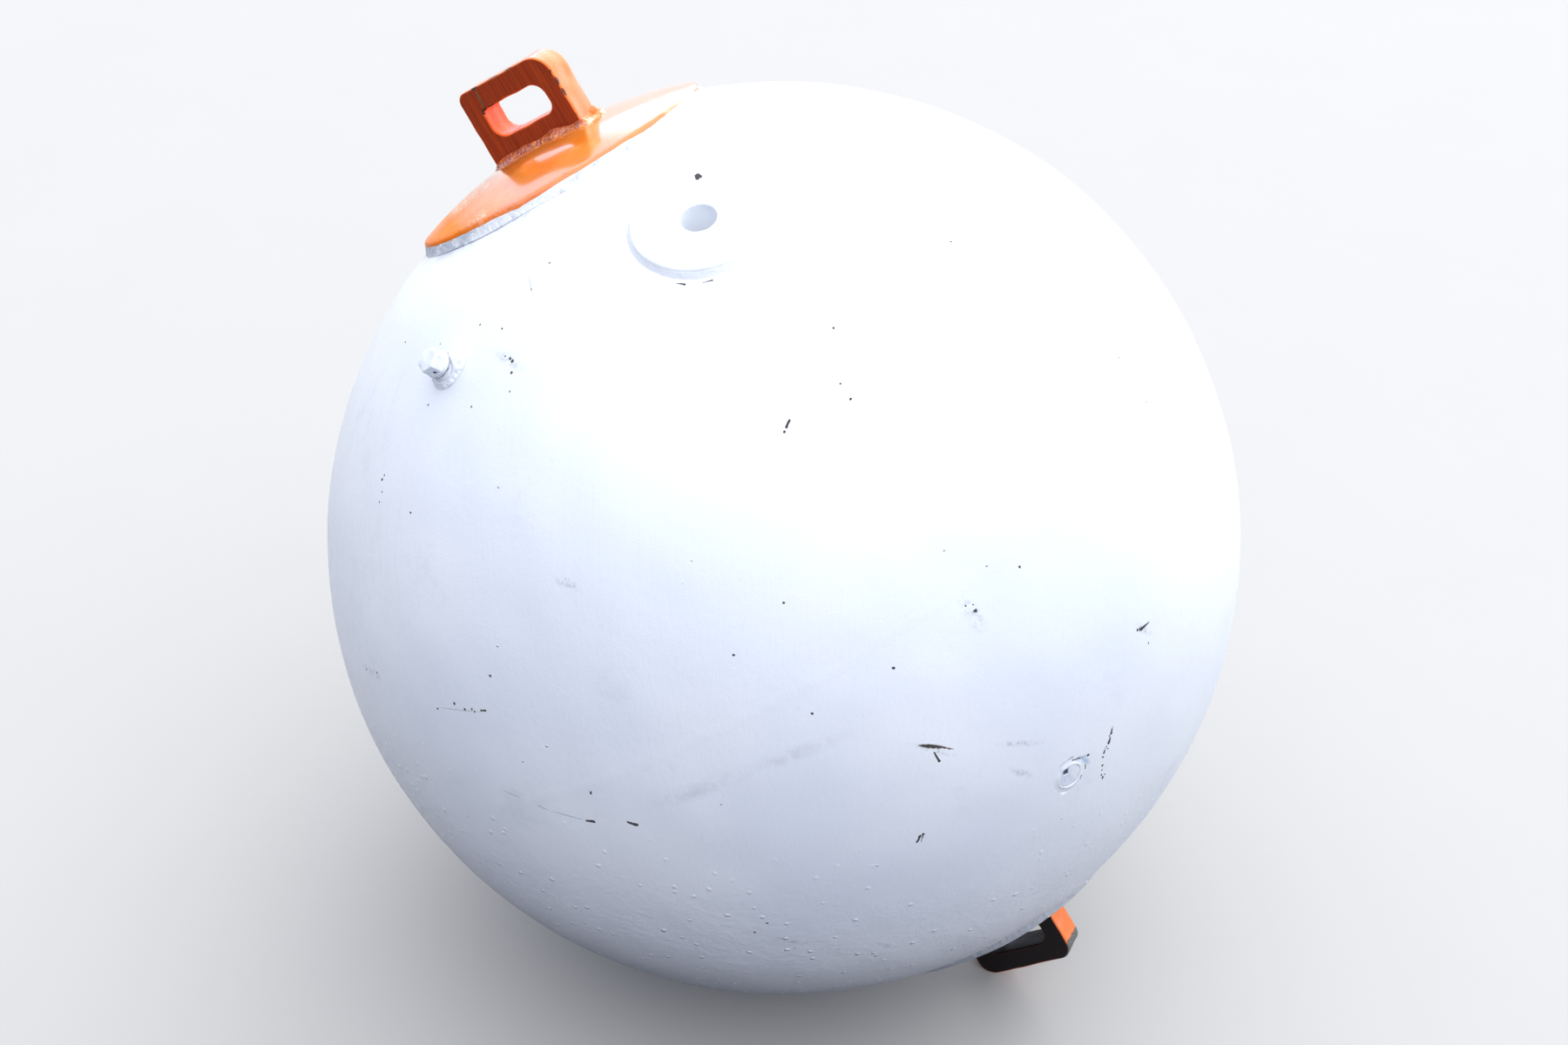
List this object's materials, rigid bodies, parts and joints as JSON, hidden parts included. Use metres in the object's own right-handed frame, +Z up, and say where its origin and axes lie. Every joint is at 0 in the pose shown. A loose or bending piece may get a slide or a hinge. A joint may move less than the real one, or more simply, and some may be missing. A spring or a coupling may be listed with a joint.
{
  "type": "spherical mooring buoy",
  "caption": "Round white steel mooring buoy with doubler caps and orange padeyes at its poles, a blind port socket, a hexagon test plug and a drain plug.",
  "frame": {"origin": "point of the floor under the shell's middle, where the shell touches the floor as it parks", "axes": "+Z up from the floor; the upper pole leans towards -X, and Y runs level through both eyes"},
  "size_m": [1.1998, 1.2, 1.2],
  "materials": {
    "white_paint": "brushed and rolled gloss enamel, scuffed and chipped",
    "orange_paint": "brushed gloss enamel, worn at the edges",
    "weathered_weld": "rough, thinly painted weld with grime",
    "painted_plug": "thickly painted, with bare edges",
    "seal": "matt"
  },
  "bodies": {
    "root": {"upper_shell": "white_paint", "lower_shell": "white_paint", "seam_weld": "white_paint", "port_socket": "white_paint", "port_weld": "white_paint", "test_coupling": "white_paint", "test_coupling_weld": "white_paint", "drain_boss": "white_paint", "lower_cap": "white_paint", "lower_cap_weld": "white_paint", "upper_cap": "orange_paint", "upper_padeye": "orange_paint", "lower_padeye": "orange_paint", "upper_padeye_weld": "orange_paint", "lower_padeye_weld": "orange_paint", "upper_cap_weld": "weathered_weld", "test_plug": "painted_plug", "drain_plug": "painted_plug", "test_seal": "seal"}
  },
  "joints": []
}
